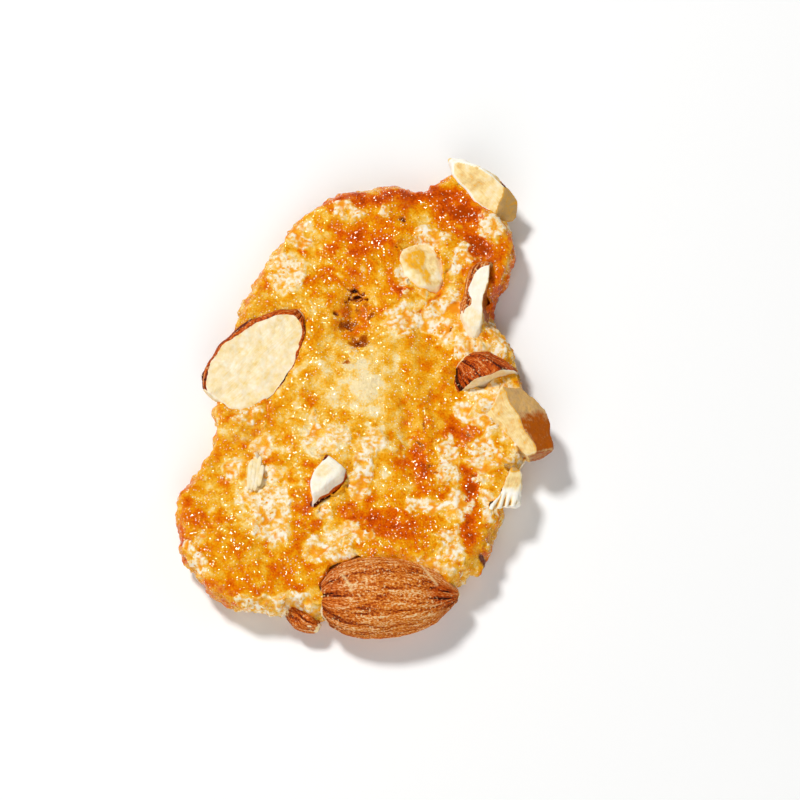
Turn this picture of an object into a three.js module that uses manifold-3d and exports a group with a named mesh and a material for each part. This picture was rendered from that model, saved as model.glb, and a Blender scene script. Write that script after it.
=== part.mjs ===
// An almond crisp: a thin, craggy slab of caramelised dough with one whole almond on its front edge
// and chopped almond pieces sunk in its top. Millimetres, +Z up, the slab lying on its flat underside.
import * as THREE from 'three';
import { mergeVertices } from 'three/addons/utils/BufferGeometryUtils.js';
import { ImprovedNoise } from 'three/addons/math/ImprovedNoise.js';
import Module from 'manifold-3d';

// Driving sizes. The whole almond is the object's own ruler: every other size was read against it.
const WHOLE_KERNEL = [24, 14.2, 8.6];
const SLAB_THICKNESS = 7;
const EDGE_ROUNDING = 2.2;
const FIT_GAP = 0.3;
const MERGE_DISTANCE = 1e-4;

// Plan outline of the slab, anticlockwise from the middle of its back edge.
const OUTLINE = [
  [3, 39], [-7.5, 36.2], [-14, 30], [-20.5, 18.3], [-24.7, 2], [-26.8, -11.2], [-32.3, -21.8],
  [-27.5, -33.2], [-22.5, -37.7], [-17.2, -37.4], [-7.4, -39.2], [2, -36.8], [10, -36], [18.4, -31.8],
  [22.2, -25.6], [25.2, -15], [27.9, -11.2], [27.6, -6], [27, 3.5], [22.9, 15.4], [26.2, 27.4],
  [23.6, 34.4], [15.2, 41.8], [10.5, 38.6],
];
const OUTLINE_SAMPLES = 720;
const SLAB_CENTRE = new THREE.Vector2(-1, -1);

// Mesh density: rings on each face of the slab, and the share of them that turn down over the edge.
const RINGS = 25;
const EDGE_RING_SHARE = 0.16;

// Relief of the top, each as a wavelength and a height: slow swells, crags, and lumps of crumb.
const SWELL = { wavelength: 21, height: 1.2, layer: 0.37 };
const CRAG = { wavelength: 7.5, height: 0.95, layer: 5.13 };
const LUMP = { wavelength: 3.7, height: 0.6, layer: 9.71 };
const RAGGED_EDGE = { wavelength: 5.2, height: 1.3, layer: 2.29 };
const UNDERSIDE_PIT = { wavelength: 8, height: 1.1, layer: 14.6 };

// Dips where the dough blistered through, and where it folded into a furrow.
const BLISTER = { centre: [-2, 14.5], radii: [3.6, 6.4], turn: 14, depth: 2.8 };
const FURROW = { centre: [7.6, -7], radii: [2, 12], turn: 8, depth: 1.1 };

// Dough climbs a little round each almond piece.
const COLLAR_LIFT = 0.8;
const COLLAR_WIDTH = 0.45;

const SKIN = 0x8f4a22;
const FLESH = 0xf3e2bd;
const DOUGH = 0xdf9a3c;

// Almond pieces. kernel is length, width and thickness before chopping, with the tip towards +X, and
// turn is in degrees about X, Y and Z. A knife cut is a plane: its normal in the cookie's own axes and
// its distance from the kernel's centre. Brown skin is left where no cut passed.
const ALMONDS = [
  {
    name: 'almond_whole', colour: SKIN, kernel: WHOLE_KERNEL, at: [4.4, -35.8, 5.3], turn: [5, 0, 1],
    cuts: [],
  },
  {
    name: 'almond_half_left', colour: FLESH, kernel: [22, 13, 9], at: [-18.2, 6.6, 6.4], turn: [0, 0, 48],
    cuts: [[0.08, -0.12, 1, 1.2]],
  },
  {
    name: 'almond_back_corner', colour: FLESH, kernel: [17.5, 5.8, 7], at: [20.9, 38, 6.5],
    turn: [0, 0, 138], cuts: [[-0.25, -0.3, 0.92, 1.3], [0.5, -0.48, 0.72, 3.45]],
  },
  {
    name: 'almond_right_back', colour: FLESH, kernel: [14.5, 7.6, 8], at: [20.2, 17, 6.4],
    turn: [0, 0, -105], cuts: [[-0.1, -0.05, 1, 2.2], [0.97, -0.15, 0.2, 1]],
  },
  {
    name: 'almond_right_skin', colour: SKIN, kernel: [20, 11, 9], at: [23.6, -0.6, 5.4],
    turn: [0, 0, -46], cuts: [[0.34, -0.94, 0.15, -3], [-0.96, -0.27, 0, 8]],
  },
  {
    name: 'almond_right_cut', colour: FLESH, kernel: [21, 13, 11], at: [25.2, -5.3, 6.8],
    turn: [0, 0, -63],
    cuts: [
      [-0.43, -0.27, 0.87, 1.5], [0.35, 0.13, 0.93, 2.4], [-0.75, -0.66, 0, 2.4],
      [-0.81, 0.58, 0, 4.6], [-0.1, 1, 0, 5.8], [0.66, 0.75, 0, 5.5], [0.3, -0.95, 0, 7],
    ],
  },
  {
    name: 'almond_right_front', colour: FLESH, kernel: [13, 10, 7], at: [24.3, -17.8, 5.6],
    turn: [0, 0, 74],
    cuts: [
      [0.12, -0.1, 0.98, 1.9], [-0.9, 0.43, 0.1, 1.6], [1, 0.02, 0, 2.3], [0.75, -0.66, 0, 2.9],
      [0.1, -1, -0.4, 2.3], [0.3, 0.95, 0, 4.3],
    ],
  },
  {
    name: 'almond_middle', colour: FLESH, kernel: [15.5, 10.4, 8], at: [-7.8, -13.9, 6.4],
    turn: [0, 0, 45],
    cuts: [
      [0, 0.1, 1, 2.4], [0.57, 0.82, 0, 2.7], [-0.87, 0.49, 0, -0.1], [-1, -0.09, 0, 1.5],
      [0.97, 0.25, 0, 4.6],
    ],
  },
  {
    name: 'almond_back_slice', colour: FLESH, kernel: [10.5, 6.8, 6], at: [10.3, 22.6, 6.8],
    turn: [0, 0, -64], cuts: [[0.05, 0.06, 1, 0.9]],
  },
  {
    name: 'almond_front_bit', colour: SKIN, kernel: [7.8, 3.6, 3.6], at: [-10.2, -39.3, 3.2],
    turn: [0, 0, -32], cuts: [[0.85, -0.53, 0, 3.2]],
  },
];
const KERNEL_FACET = 2.2;
const KERNEL_FEWEST_FACETS = 7;
const KERNEL_BLUNT_END = 0.4;
const KERNEL_POINTED_END = 0.6;
const KERNEL_WRINKLES = { count: 6, depth: 0.025 };
const KNIFE_BLOCK = 80;

// No dough lies over a piece: its seat is cut again at this height above it.
const SEAT_LIFT = 2.5;

// Shreds of almond too small to lift out: each is a sliver fused to the dough.
const SHREDS = [
  { kernel: [7, 2.6, 2.2], at: [-18.8, -14, 7.5], turn: [0, 6, 80] },
  { kernel: [3.8, 2.2, 2.2], at: [-16.3, -39.1, 3.2], turn: [0, 0, 10] },
  { kernel: [3.6, 2.6, 2.4], at: [19.4, -30.2, 5], turn: [0, 0, 60] },
];

const wasm = await Module();
wasm.setup();
const noise = new ImprovedNoise();

// Closed geometry to solid: shared corners are merged and triangles that collapse at a pole dropped.
function toSolid(geometry) {
  const bare = new THREE.BufferGeometry();
  bare.setAttribute('position', geometry.getAttribute('position'));
  bare.setIndex(geometry.index);
  const merged = mergeVertices(bare, MERGE_DISTANCE);
  const corners = [];
  for (let i = 0; i < merged.index.count; i += 3) {
    const [a, b, c] = merged.index.array.slice(i, i + 3);
    if (a !== b && b !== c && c !== a) corners.push(a, b, c);
  }
  return new wasm.Manifold(new wasm.Mesh({
    numProp: 3,
    vertProperties: merged.getAttribute('position').array,
    triVerts: new Uint32Array(corners),
  }));
}

function toGeometry(solid) {
  const { vertProperties, triVerts } = solid.getMesh();
  const geometry = new THREE.BufferGeometry();
  geometry.setAttribute('position', new THREE.BufferAttribute(vertProperties, 3));
  geometry.setIndex(new THREE.BufferAttribute(triVerts, 1));
  geometry.computeVertexNormals();
  return geometry;
}

function largestBody(solid) {
  const bodies = solid.decompose();
  return bodies.reduce((best, body) => (body.volume() > best.volume() ? body : best));
}

function turned(degrees) {
  return new THREE.Euler(...degrees.map(THREE.MathUtils.degToRad));
}

function wave({ wavelength, height, layer }, x, y) {
  return height * noise.noise(x / wavelength, y / wavelength, layer);
}

// Distance from an ellipse's centre, as a share of the way to its edge. turn is in degrees.
function ellipseShare(x, y, { centre, radii, turn }) {
  const offset = new THREE.Vector2(x - centre[0], y - centre[1]);
  offset.rotateAround(new THREE.Vector2(), -THREE.MathUtils.degToRad(turn));
  return Math.hypot(offset.x / radii[0], offset.y / radii[1]);
}

function dip(hollow, x, y) {
  return -hollow.depth * Math.exp(-2 * ellipseShare(x, y, hollow) ** 2);
}

function collar(footprint, x, y) {
  const share = ellipseShare(x, y, footprint);
  return COLLAR_LIFT * Math.exp(-(((share - 1) / COLLAR_WIDTH) ** 2));
}

function topHeight(x, y, footprints) {
  const relief = wave(SWELL, x, y) + wave(CRAG, x, y) + wave(LUMP, x, y);
  const collars = Math.max(...footprints.map((footprint) => collar(footprint, x, y)));
  return SLAB_THICKNESS + relief + collars + dip(BLISTER, x, y) + dip(FURROW, x, y);
}

// The underside baked flat on its tray, apart from shallow pits.
function undersideHeight(x, y) {
  return Math.max(0, wave(UNDERSIDE_PIT, x, y) - UNDERSIDE_PIT.height / 4);
}

// Distance from the slab's centre to its edge in each direction, from a smooth closed curve.
function edgeDistances() {
  const points = OUTLINE.map(([x, y]) => new THREE.Vector3(x - SLAB_CENTRE.x, y - SLAB_CENTRE.y, 0));
  const curve = new THREE.CatmullRomCurve3(points, true, 'centripetal');
  const distances = new Array(OUTLINE_SAMPLES);
  for (const point of curve.getPoints(OUTLINE_SAMPLES * 4)) {
    const share = Math.atan2(point.y, point.x) / (2 * Math.PI) + 1;
    distances[Math.round(share * OUTLINE_SAMPLES) % OUTLINE_SAMPLES] = Math.hypot(point.x, point.y);
  }
  return distances;
}

// One point of the slab. ring runs from 0 at the centre to 1 at the rim, where both faces meet.
function slabPoint(ring, angle, isTop, distances, footprints) {
  const sample = Math.round((angle / (2 * Math.PI)) * OUTLINE_SAMPLES) % OUTLINE_SAMPLES;
  const direction = new THREE.Vector2(Math.cos(angle), Math.sin(angle));
  const rimPoint = direction.clone().multiplyScalar(distances[sample]);
  const rimDistance = distances[sample] + wave(RAGGED_EDGE, rimPoint.x, rimPoint.y);
  const flatShare = Math.min(1, ring / (1 - EDGE_RING_SHARE));
  const edgeShare = Math.max(0, 1 - (1 - ring) / EDGE_RING_SHARE);
  const edgeTurn = (edgeShare * Math.PI) / 2;
  const distance = flatShare * (rimDistance - EDGE_ROUNDING) + EDGE_ROUNDING * Math.sin(edgeTurn);
  const place = direction.multiplyScalar(distance).add(SLAB_CENTRE);
  const top = topHeight(place.x, place.y, footprints);
  const underside = undersideHeight(place.x, place.y);
  const middle = (top + underside) / 2;
  const face = isTop ? top : underside;
  return new THREE.Vector3(place.x, place.y, middle + (face - middle) * Math.cos(edgeTurn));
}

// The slab's two faces are discs of rings, with 6 more points on each ring, that share their rim.
function slabGeometry(footprints) {
  const distances = edgeDistances();
  const positions = [];
  const corners = [];
  const startOf = (ring) => (ring === 0 ? 0 : 1 + 3 * ring * (ring - 1));
  const inOneFace = startOf(RINGS + 1);
  for (const isTop of [true, false]) {
    const lastRing = isTop ? RINGS : RINGS - 1;
    for (let ring = 0; ring <= lastRing; ring += 1) {
      const count = Math.max(1, 6 * ring);
      for (let i = 0; i < count; i += 1) {
        const angle = (i / count) * 2 * Math.PI;
        positions.push(...slabPoint(ring / RINGS, angle, isTop, distances, footprints));
      }
    }
  }
  for (const isTop of [true, false]) {
    const index = (ring, i) => {
      const place = startOf(ring) + (ring === 0 ? 0 : i % (6 * ring));
      const isShared = ring === RINGS || isTop;
      return isShared ? place : inOneFace + place;
    };
    const add = (a, b, c) => corners.push(...(isTop ? [a, b, c] : [a, c, b]));
    for (let ring = 1; ring <= RINGS; ring += 1) {
      for (let i = 0; i < 6 * ring; i += 1) {
        const inner = i - Math.floor(i / ring);
        add(index(ring, i), index(ring, i + 1), index(ring - 1, inner));
        if ((i + 1) % ring !== 0) add(index(ring, i + 1), index(ring - 1, inner + 1), index(ring - 1, inner));
      }
    }
  }
  const geometry = new THREE.BufferGeometry();
  geometry.setAttribute('position', new THREE.Float32BufferAttribute(positions, 3));
  geometry.setIndex(corners);
  return geometry;
}

// An almond kernel lying along X: a turned teardrop, pressed flat, with wrinkles along its length.
function kernelGeometry([length, width, thickness]) {
  const girth = (Math.PI * (width + thickness)) / 2;
  const along = Math.max(KERNEL_FEWEST_FACETS, Math.round(length / KERNEL_FACET));
  const around = Math.max(KERNEL_FEWEST_FACETS, Math.round(girth / KERNEL_FACET));
  const widest = KERNEL_BLUNT_END / (KERNEL_BLUNT_END + KERNEL_POINTED_END);
  const swell = (share) => share ** KERNEL_BLUNT_END * (1 - share) ** KERNEL_POINTED_END;
  const profile = [];
  for (let i = 0; i <= along; i += 1) {
    const share = (1 - Math.cos((i / along) * Math.PI)) / 2;
    profile.push(new THREE.Vector2(swell(share) / swell(widest), share - 0.5));
  }
  const geometry = new THREE.LatheGeometry(profile, around);
  const place = geometry.getAttribute('position');
  for (let i = 0; i < place.count; i += 1) {
    const angle = Math.atan2(place.getZ(i), place.getX(i));
    const wrinkle = 1 + KERNEL_WRINKLES.depth * Math.cos(KERNEL_WRINKLES.count * angle);
    const across = -place.getX(i) * wrinkle * (width / 2);
    const up = place.getZ(i) * wrinkle * (thickness / 2);
    place.setXYZ(i, place.getY(i) * length, across, up);
  }
  return geometry;
}

// Everything past a knife plane, as a block with one face on it.
function pastKnife(normal, distance) {
  const block = new THREE.BoxGeometry(KNIFE_BLOCK, KNIFE_BLOCK, KNIFE_BLOCK);
  block.translate(KNIFE_BLOCK / 2 + distance, 0, 0);
  block.applyQuaternion(new THREE.Quaternion().setFromUnitVectors(new THREE.Vector3(1, 0, 0), normal));
  return toSolid(block);
}

// A kernel after chopping, in its own axes, grown all over by a gap so that it can also cut its own seat.
function almondSolid({ kernel, turn, cuts }, gap) {
  const grown = kernel.map((size) => size + 2 * gap);
  const toOwnAxes = new THREE.Quaternion().setFromEuler(turned(turn)).invert();
  const whole = toSolid(kernelGeometry(grown));
  return cuts.reduce((left, [x, y, z, distance]) => {
    const normal = new THREE.Vector3(x, y, z).normalize().applyQuaternion(toOwnAxes);
    return left.subtract(pastKnife(normal, distance + gap));
  }, whole);
}

function almondMesh(almond) {
  const material = new THREE.MeshStandardMaterial({ color: almond.colour, roughness: 0.6, metalness: 0 });
  const mesh = new THREE.Mesh(toGeometry(almondSolid(almond, 0)), material);
  mesh.name = almond.name;
  mesh.position.set(...almond.at);
  mesh.rotation.copy(turned(almond.turn));
  mesh.updateMatrix();
  return mesh;
}

// The ellipse in plan that a placed piece covers, for the dough that climbs round it.
function almondFootprint(mesh) {
  mesh.geometry.computeBoundingBox();
  const half = mesh.geometry.boundingBox.getSize(new THREE.Vector3()).divideScalar(2);
  const centre = mesh.geometry.boundingBox.getCenter(new THREE.Vector3()).applyMatrix4(mesh.matrix);
  const turn = THREE.MathUtils.radToDeg(mesh.rotation.z);
  return { centre: [centre.x, centre.y], radii: [half.x, half.y], turn };
}

function almondSeat(almond, mesh) {
  const grown = toGeometry(almondSolid(almond, FIT_GAP)).applyMatrix4(mesh.matrix);
  const seat = toSolid(grown);
  return seat.add(toSolid(grown.clone().translate(0, 0, SEAT_LIFT)));
}

function shredSolid({ kernel, at, turn }) {
  const geometry = kernelGeometry(kernel);
  geometry.applyQuaternion(new THREE.Quaternion().setFromEuler(turned(turn)));
  return toSolid(geometry.translate(...at));
}

function crispMesh(almondMeshes) {
  let solid = toSolid(slabGeometry(almondMeshes.map(almondFootprint)));
  for (const shred of SHREDS) solid = solid.add(shredSolid(shred));
  almondMeshes.forEach((mesh, i) => {
    solid = solid.subtract(almondSeat(ALMONDS[i], mesh));
  });
  const material = new THREE.MeshStandardMaterial({ color: DOUGH, roughness: 0.45, metalness: 0 });
  const mesh = new THREE.Mesh(toGeometry(largestBody(solid)), material);
  mesh.name = 'crisp_body';
  return mesh;
}

// The cookie stands on the ground with the middle of its box over the origin.
function almondCrisp() {
  const cookie = new THREE.Group();
  const almonds = ALMONDS.map(almondMesh);
  cookie.add(crispMesh(almonds), ...almonds);
  const box = new THREE.Box3().setFromObject(cookie, true);
  const centre = box.getCenter(new THREE.Vector3());
  cookie.position.set(-centre.x, -centre.y, -box.min.z);
  const part = new THREE.Group();
  part.add(cookie);
  return part;
}

export default almondCrisp();
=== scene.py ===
# %% [markdown]
# # An almond crisp, finished in Blender
#
# The cookie is a thin slab of dough, baked until its sugar turned to caramel. One whole almond sits on
# its front edge and chopped pieces are sunk in its top. The solids already have the true form and size,
# so this lesson only gives each of them its fine surface: crumb, glaze, skin and cut nut.

import math

import bpy
import numpy as np
from mathutils import Matrix, Vector, noise
from mathutils.bvhtree import BVHTree


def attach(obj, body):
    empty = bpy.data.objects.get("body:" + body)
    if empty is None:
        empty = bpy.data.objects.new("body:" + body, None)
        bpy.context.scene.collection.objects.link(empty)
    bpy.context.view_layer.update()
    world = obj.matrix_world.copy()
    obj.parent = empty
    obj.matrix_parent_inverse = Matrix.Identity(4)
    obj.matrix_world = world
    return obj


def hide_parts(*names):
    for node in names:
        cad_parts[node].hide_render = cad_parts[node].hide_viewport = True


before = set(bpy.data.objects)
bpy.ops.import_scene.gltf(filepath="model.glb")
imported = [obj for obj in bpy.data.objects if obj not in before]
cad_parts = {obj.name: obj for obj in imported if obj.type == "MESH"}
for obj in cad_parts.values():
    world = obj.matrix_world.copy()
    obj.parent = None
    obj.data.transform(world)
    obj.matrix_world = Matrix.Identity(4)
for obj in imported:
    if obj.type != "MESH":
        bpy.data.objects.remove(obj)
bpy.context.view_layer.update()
MM = 0.001
print("solids:", ", ".join(sorted(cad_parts)))

# %% [markdown]
# ## The view
#
# The camera looks down at 70 degrees through a long lens, so the slab keeps its plan shape and its front
# edge still shows. With a long lens, sliding the camera sideways frames the cookie left of the middle
# without the tilt that turning it would bring.

# %% Camera
CAMERA_ELEVATION = math.radians(70)
CAMERA_DISTANCE = 0.600
CAMERA_LENS = 157.4
FRAME_CENTRE = Vector((6.1, -0.7, 4.0)) * MM

camera = bpy.data.objects.new("camera", bpy.data.cameras.new("camera"))
bpy.context.scene.collection.objects.link(camera)
back = Vector((0, -math.cos(CAMERA_ELEVATION), math.sin(CAMERA_ELEVATION)))
camera.location = FRAME_CENTRE + back * CAMERA_DISTANCE
camera.rotation_euler = (math.pi / 2 - CAMERA_ELEVATION, 0, 0)
camera.data.lens = CAMERA_LENS
camera.data.clip_start = 0.01
bpy.context.scene.camera = camera
print("camera at", [round(value, 4) for value in camera.location])

# %% [markdown]
# ## Tools for the pieces
#
# Every piece starts as a copy of its solid. The copy's loose triangles are merged into one skin first, so
# that remeshing and smoothing see a closed surface. Positions are handled as rows of millimetres, because
# a cookie's features are easier to think of in millimetres than in metres.

# %% Copy and modify
WELD_DISTANCE = 1e-6


def pick(piece):
    """Selects one object alone and makes it the active one."""
    bpy.ops.object.select_all(action="DESELECT")
    piece.select_set(True)
    bpy.context.view_layer.objects.active = piece


def copy_node(node, name):
    """A merged copy of a solid, ready to be shaped."""
    piece = bpy.data.objects.new(name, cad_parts[node].data.copy())
    bpy.context.scene.collection.objects.link(piece)
    piece.data.materials.clear()
    pick(piece)
    bpy.ops.object.mode_set(mode="EDIT")
    bpy.ops.mesh.select_all(action="SELECT")
    bpy.ops.mesh.remove_doubles(threshold=WELD_DISTANCE)
    bpy.ops.object.mode_set(mode="OBJECT")
    return piece


def modify(piece, kind, **settings):
    """Adds a modifier and applies it."""
    modifier = piece.modifiers.new(kind.lower(), kind)
    for key, value in settings.items():
        setattr(modifier, key, value)
    pick(piece)
    bpy.ops.object.modifier_apply(modifier=modifier.name)


print("copies weld corners closer than", WELD_DISTANCE, "m")


# %% Read, move and mark vertices
def rows(piece, what):
    """Positions (what='co', in mm) or normals (what='normal') of a piece's vertices, one row each."""
    flat = np.empty(len(piece.data.vertices) * 3)
    piece.data.vertices.foreach_get(what, flat)
    return flat.reshape(-1, 3) / (MM if what == "co" else 1)


def move_to(piece, points):
    """Puts the vertices at these positions in millimetres."""
    piece.data.vertices.foreach_set("co", (points * MM).ravel())
    piece.data.update()


def keep(piece, name, values):
    """Stores one number for each vertex, where a material can read it."""
    layer = piece.data.attributes.new(name, "FLOAT", "POINT")
    layer.data.foreach_set("value", np.asarray(values, float))


def lumps(points, size, layer):
    """Smooth noise from about -1 to 1 with features `size` mm across; each layer is a new pattern."""
    return np.array([noise.noise(point) for point in (points / size + layer).tolist()])


def heap(points, layers):
    """Lumps of several sizes added up. Each layer is a height, a size in mm and a pattern."""
    return sum(height * lumps(points, size, layer) for height, size, layer in layers)


def step(values, low, high):
    """0 below low, 1 above high, and smooth between."""
    share = np.clip((values - low) / (high - low), 0, 1)
    return share * share * (3 - 2 * share)


def ellipse_share(points, patch):
    """How far each point lies from a patch's centre in plan, as a share of the way to its edge.

    A patch is its centre x and y, its half width and half depth in mm, its turn in degrees and a strength.
    """
    x, y, half_width, half_depth, turn = patch[:5]
    cos, sin = math.cos(math.radians(turn)), math.sin(math.radians(turn))
    across, along = points[:, 0] - x, points[:, 1] - y
    return np.hypot((across * cos + along * sin) / half_width, (along * cos - across * sin) / half_depth)


print("tools ready, in millimetres")

# %% [markdown]
# ## The almonds
#
# Brown skin is left wherever no knife passed, and the cuts show ivory nut. Where a face lies on the
# kernel's own round surface it is skin, and where it lies deeper it is a cut, so the two finishes are
# told apart by shape alone.

# %% Kernel of each piece
# Each row: the kernel's length, width and thickness before chopping, its middle, and its turn in degrees.
KERNELS = {
    "almond_whole": ((24, 14.2, 8.6), (4.35, -36.26, 5.3), 1),
    "almond_half_left": ((22, 13, 9), (-18.25, 6.14, 6.4), 48),
    "almond_back_corner": ((17.5, 5.8, 7), (20.85, 37.54, 6.5), 138),
    "almond_right_back": ((14.5, 7.6, 8), (20.15, 16.54, 6.4), -105),
    "almond_right_skin": ((20, 11, 9), (23.55, -1.06, 5.4), -46),
    "almond_right_cut": ((21, 13, 11), (25.15, -5.76, 6.8), -63),
    "almond_right_front": ((13, 10, 7), (24.25, -18.26, 5.6), 74),
    "almond_middle": ((15.5, 10.4, 8), (-7.85, -14.36, 6.4), 45),
    "almond_back_slice": ((10.5, 6.8, 6), (10.25, 22.14, 6.8), -64),
    "almond_front_bit": ((7.8, 3.6, 3.6), (-10.25, -39.76, 3.2), -32),
}
BLUNT_END, POINTED_END = 0.4, 0.6


def kernel_swell(share):
    """The kernel's girth along its length, from its blunt end at 0 to its tip at 1, at most 1."""
    share = np.clip(share, 1e-3, 1 - 1e-3)
    widest = BLUNT_END / (BLUNT_END + POINTED_END)
    return (share / widest) ** BLUNT_END * ((1 - share) / (1 - widest)) ** POINTED_END


def in_kernel(points, node):
    """Positions in the kernel's own axes: along it, across it and up."""
    _, middle, turn = KERNELS[node]
    return (points - np.array(middle)) @ np.array(Matrix.Rotation(math.radians(turn), 3, "Z"))


def depth_under_skin(own, node):
    """How deep a point lies under the kernel's skin: 0 on it, 1 on the kernel's axis."""
    length, width, thickness = KERNELS[node][0]
    around = np.hypot(own[:, 1] / (width / 2), own[:, 2] / (thickness / 2))
    return 1 - around / kernel_swell(own[:, 0] / length + 0.5)


print(len(KERNELS), "kernels")

# %% [markdown]
# ### Skin left on the pieces
#
# Chopping peels some of the skin off: four pieces are bare, but for a scrap on one of them, and on two more
# a flap of skin is left beside a cut. A number above 0 means skin and one below 0 means bare nut, so the
# border between them can be frayed by noise later instead of following the mesh.

# %% Where skin is left
# Skin reaches this share of the way in to the kernel's axis. A piece is peeled whole, above a height in mm
# or in a patch, and a flap of skin is a patch too.
SKIN_DEPTH = 0.14
SKINLESS = ("almond_right_cut", "almond_right_front", "almond_back_slice", "almond_back_corner")
PEELED_ABOVE = {"almond_middle": 7.9}
SKIN_FLAPS = {
    "almond_right_back": [(17.0, 16.3, 1.5, 1.9, 10)], "almond_middle": [(-6.7, -12.1, 1.3, 0.9, 40)],
    "almond_back_corner": [(24.2, 38.0, 0.35, 1.1, 20)],
}
PEELED_PATCHES = {"almond_right_back": [(18.8, 10.8, 3.6, 3.8, 0)]}


def on_kernel_surface(node, outward, own):
    """Near 1 on the kernel's own round surface and -1 on a cut."""
    width, thickness = KERNELS[node][0][1:]
    slope = np.stack([0 * own[:, 0], own[:, 1] / width ** 2, own[:, 2] / thickness ** 2], axis=1)
    slope /= np.linalg.norm(slope, axis=1, keepdims=True) + 1e-9
    near = (SKIN_DEPTH - depth_under_skin(own, node)) / 0.06
    looks_out = ((slope * outward).sum(axis=1) - 0.6) / 0.2
    return np.minimum(near, looks_out).clip(-1, 1)


def skin_of(node, points, surface):
    """Above 0 where brown skin is left, below 0 where the nut is cut or peeled."""
    skin = surface + 0.35 * lumps(points, 1.7, 6.1)
    if node in SKINLESS:
        skin[:] = -1
    if node in PEELED_ABOVE:
        skin = np.minimum(skin, (PEELED_ABOVE[node] + 0.6 * lumps(points, 2.0, 2.9) - points[:, 2]) / 0.3)
    for bare in PEELED_PATCHES.get(node, []):
        skin = np.minimum(skin, 3 * (ellipse_share(points, bare) - 1 + 0.25 * lumps(points, 1.0, 1.1)))
    for flap in SKIN_FLAPS.get(node, []):
        skin = np.maximum(skin, 3 * (1 - ellipse_share(points, flap) + 0.25 * lumps(points, 1.0, 1.1)))
    return skin.clip(-1, 1.3)


print(len(SKINLESS), "pieces are peeled")

# %% [markdown]
# ### Stains and painted shade on the cuts
#
# Caramel ran over some cuts and browned them, and a fresh break is almost white. Each stain is a patch in
# plan. Some take every face, and some only faces turned far enough to the right, which keeps them on one
# facet of a chopped piece. These right-facing patches are caramel stain and painted shade on the facets
# turned away from the key light.

# %% Stains and painted shade on the cut faces
# Stain 0 is white nut, 0.25 ivory, 0.45 beige, 0.6 golden, 0.8 tan and 1 caramel brown.
CUT_STAIN = {
    "almond_whole": 0.30, "almond_half_left": 0.34, "almond_back_corner": 0.42, "almond_right_back": 0.18,
    "almond_right_skin": 0.36, "almond_right_cut": 0.48, "almond_right_front": 0.08, "almond_middle": 0.16,
    "almond_back_slice": 0.40, "almond_front_bit": 0.40,
}
CUT_MOTTLING = {"almond_back_corner": 0.14, "almond_right_cut": 0.14, "almond_back_slice": 0.16}
PLAIN_MOTTLING = 0.08
# Each row: a patch, its stain, and how far right a face must look to take it (-2 takes every face). A patch
# that only right-facing faces take is partly painted shade, and so is the tan top of the frayed piece.
STAIN_AND_SHADE_PATCHES = {
    "almond_back_corner": [((24.4, 34.2, 4.5, 4.5, 0), 0.73, 0.12)],
    "almond_right_back": [((22, 17, 4, 8, 0), 1.03, 0.55), ((18.6, 11.6, 2.2, 3.0, 0), 0.30, -2)],
    "almond_right_cut": [((27, -5, 9, 12, 0), 0.78, 0.25), ((29.4, -8.6, 6.5, 4.2, 16), 1.03, 0.25)],
    "almond_right_front": [((25.2, -16.0, 3.4, 2.2, 0), 0.43, -2), ((25.6, -13.8, 2.4, 0.9, 0), 0.78, -2)],
    "almond_middle": [((-6.7, -15.2, 1.6, 1.3, 30), 0.34, -2)],
    "almond_back_slice": [((8.7, 24.0, 1.6, 2.4, 10), 0.60, -2), ((10.4, 21.2, 0.8, 2.6, 25), 0.56, -2)],
}
BROKEN_EDGE = 0.16
# The piece whose round side was peeled white, and the frayed one, with the painted shade in the gaps
# between its prongs, and its prongs' spacing and depth in mm.
PEELED_WHITE, PEELED_STAIN = "almond_back_corner", 0.05
PRONGED, PRONG_GAP_SHADE = "almond_right_front", 0.8
PRONG_SPACING, PRONG_DEPTH = 1.25, 0.8


def prongs(own, looks):
    """1 in the gaps between the prongs of the frayed piece."""
    comb = (0.5 + 0.5 * np.cos(2 * math.pi * own[:, 1] / PRONG_SPACING)) ** 3
    return comb * step(-own[:, 0], 0.3, 2.0) * step(looks[:, 2], 0.0, 0.5)


def stain_and_shade_of(node, points, looks, ridge):
    """How stained each point of a nut's cut faces is, with painted shade on facets that face right; broken
    edges are paler.
    """
    stain_and_shade = CUT_STAIN[node] + CUT_MOTTLING.get(node, PLAIN_MOTTLING) * lumps(points, 1.7, 3.9)
    for patch, tone, least_right in STAIN_AND_SHADE_PATCHES.get(node, []):
        frayed = ellipse_share(points, patch) + 0.25 * lumps(points, 1.6, 7.3)
        share = (1 - step(frayed, 0.6, 1.25)) * step(looks[:, 0], least_right - 0.1, least_right + 0.1)
        stain_and_shade += (tone - stain_and_shade) * share
    return stain_and_shade - BROKEN_EDGE * ridge


print(sum(len(patches) for patches in STAIN_AND_SHADE_PATCHES.values()), "stained patches")

# %% [markdown]
# ### Shaping each almond
#
# A voxel remesh gives each piece an even skin of small faces, and a little smoothing rounds its edges as a
# blunt knife and the oven do. Then skin gets the grooves that run along an almond, cuts get shallow dents,
# and the whole kernel's tip is drawn out to a point.

# %% Grooves, ridges and the tip
# The grooves' length, spacing and depth in mm, and how much of its girth the whole kernel's tip loses.
GROOVE_LENGTH, GROOVE_SPACING, GROOVE_DEPTH = 14, 1.3, 0.13
TIP_DRAWN = 0.32


def ridges(piece):
    """1 on the sharp edges of a piece, where a point stands proud of its neighbours."""
    points, looks = rows(piece, "co"), rows(piece, "normal")
    ends = np.empty(len(piece.data.edges) * 2, int)
    piece.data.edges.foreach_get("vertices", ends)
    first, second = ends.reshape(-1, 2).T
    around, count = np.zeros_like(points), np.zeros(len(points))
    for here, there in ((first, second), (second, first)):
        np.add.at(around, here, points[there])
        np.add.at(count, here, 1)
    proud = ((points - around / count[:, None]) * looks).sum(axis=1)
    return step(proud, 0.012, 0.035)


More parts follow.
